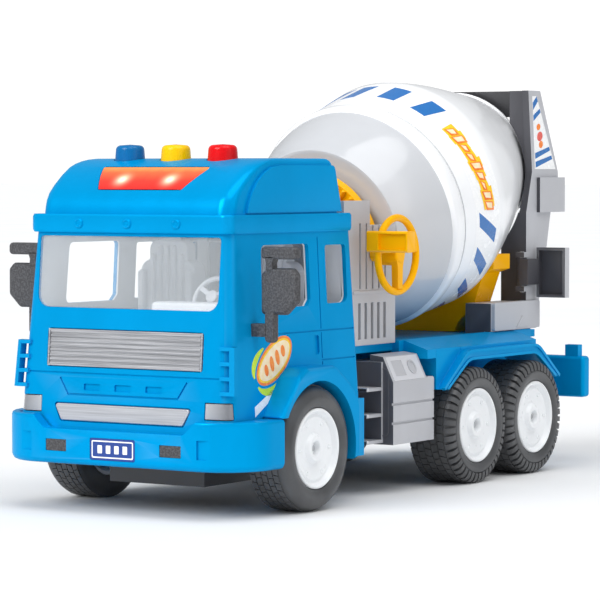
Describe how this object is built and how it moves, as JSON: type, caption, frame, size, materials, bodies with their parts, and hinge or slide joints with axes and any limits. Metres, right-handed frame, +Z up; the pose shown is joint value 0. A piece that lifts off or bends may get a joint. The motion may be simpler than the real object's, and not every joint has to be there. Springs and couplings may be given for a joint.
{
  "type": "toy cement mixer truck",
  "caption": "Friction-drive plastic toy cement mixer truck with a tilted drum turned by a side handwheel, roof push buttons and a swinging side chute.",
  "frame": {"origin": "on the ground under the middle of the truck", "axes": "+Z up, -Y the way the cab faces, +X the truck's left"},
  "size_m": [0.1666, 0.355, 0.2074],
  "materials": {
    "steel": "bright",
    "rim_white": "satin moulded",
    "tyre": "soft moulded",
    "body_blue": "gloss",
    "dark_plastic": "satin",
    "grey_plastic": "satin",
    "inner_white": "satin",
    "flywheel_metal": "plain",
    "yellow_plastic": "gloss",
    "drum_white": "gloss",
    "silver_trim": "silver paint",
    "plate_blue": "gloss",
    "label": "printed film",
    "clear": "clear",
    "lens_orange": "translucent",
    "circuit": "board",
    "pad_rubber": "plain",
    "speaker_black": "plain",
    "button_blue": "gloss",
    "button_yellow": "gloss",
    "button_red": "gloss"
  },
  "bodies": {
    "root": {"chute_pin": "steel", "assembly_screws": "steel", "battery_cells": "steel", "chassis_deck": "body_blue", "fender_left": "body_blue", "fender_right": "body_blue", "rear_bumper": "body_blue", "front_bumper": "body_blue", "cab_shell": "body_blue", "cab_roof": "body_blue", "floor_pan": "dark_plastic", "battery_door": "dark_plastic", "motor_housing": "dark_plastic", "mirror_left": "dark_plastic", "mirror_right": "dark_plastic", "fog_inserts": "dark_plastic", "feed_hopper": "dark_plastic", "drive_housing": "grey_plastic", "drum_front_bearing": "grey_plastic", "tool_box_left": "grey_plastic", "tool_box_right": "grey_plastic", "tower_side_left": "grey_plastic", "tower_side_right": "grey_plastic", "cab_interior": "inner_white", "cab_seats": "inner_white", "cab_steering_wheel": "inner_white", "drum_saddle": "yellow_plastic", "grille_panel": "silver_trim", "intake_panel": "silver_trim", "headlights": "silver_trim", "number_plate": "plate_blue", "truck_stickers": "label", "windshield": "clear", "roof_lens": "lens_orange", "sound_board": "circuit", "switch_pad": "pad_rubber", "speaker": "speaker_black"},
    "front_wheels": {"front_axle": "steel", "front_rims": "rim_white", "front_tyres": "tyre", "axle_gear": "inner_white"},
    "middle_wheels": {"middle_axle": "steel", "middle_rims": "rim_white", "middle_tyres": "tyre"},
    "rear_wheels": {"rear_axle": "steel", "rear_rims": "rim_white", "rear_tyres": "tyre"},
    "layshaft": {"motor_layshaft": "inner_white"},
    "flywheel": {"motor_flywheel": "flywheel_metal"},
    "drum": {"crown_gear": "yellow_plastic", "drum_front_shell": "drum_white", "drum_rear_shell": "drum_white", "drum_stickers": "label"},
    "hand_drive": {"handwheel": "yellow_plastic", "pinion_shaft": "yellow_plastic"},
    "blue_button": {"button_blue": "button_blue"},
    "yellow_button": {"button_yellow": "button_yellow"},
    "red_button": {"button_red": "button_red"},
    "side_chute": {"discharge_chute": "grey_plastic"}
  },
  "joints": [
    {"name": "front_wheels_spin", "type": "hinge", "parent": "root", "child": "front_wheels", "pos_m": [0, -0.1105, 0.03], "axis": [1, 0, 0], "continuous": true},
    {"name": "middle_wheels_spin", "type": "hinge", "parent": "root", "child": "middle_wheels", "pos_m": [0, 0.04375, 0.03], "axis": [1, 0, 0], "continuous": true},
    {"name": "rear_wheels_spin", "type": "hinge", "parent": "root", "child": "rear_wheels", "pos_m": [0, 0.10525, 0.03], "axis": [1, 0, 0], "continuous": true},
    {"name": "layshaft_spin", "type": "hinge", "parent": "root", "child": "layshaft", "pos_m": [0, -0.0975, 0.0352], "axis": [1, 0, 0], "continuous": true},
    {"name": "flywheel_spin", "type": "hinge", "parent": "root", "child": "flywheel", "pos_m": [0, -0.0905, 0.04615], "axis": [1, 0, 0], "continuous": true},
    {"name": "drum_spin", "type": "hinge", "parent": "root", "child": "drum", "pos_m": [0, 0.0345, 0.1341], "axis": [0, 0.9681, 0.2504], "continuous": true},
    {"name": "handwheel_spin", "type": "hinge", "parent": "root", "child": "hand_drive", "pos_m": [0.062, -0.02378, 0.11903], "axis": [1, 0, 0], "continuous": true},
    {"name": "blue_button_press", "type": "slide", "parent": "root", "child": "blue_button", "axis": [0, 0, -1], "range_m": [0, 0.002], "stiffness_N_per_m": 300, "springref_m": -0.0005},
    {"name": "yellow_button_press", "type": "slide", "parent": "root", "child": "yellow_button", "axis": [0, 0, -1], "range_m": [0, 0.002], "stiffness_N_per_m": 300, "springref_m": -0.0005},
    {"name": "red_button_press", "type": "slide", "parent": "root", "child": "red_button", "axis": [0, 0, -1], "range_m": [0, 0.002], "stiffness_N_per_m": 300, "springref_m": -0.0005},
    {"name": "chute_swing", "type": "hinge", "parent": "root", "child": "side_chute", "pos_m": [0.0493, 0.1294, 0.106], "axis": [0, 0, 1], "range_deg": [-90, 0]}
  ],
  "couplings": [
    {"joint": "layshaft_spin", "follows": "front_wheels_spin", "ratio": -2.5},
    {"joint": "flywheel_spin", "follows": "front_wheels_spin", "ratio": 5.625},
    {"joint": "handwheel_spin", "follows": "drum_spin", "ratio": -1.8333}
  ]
}
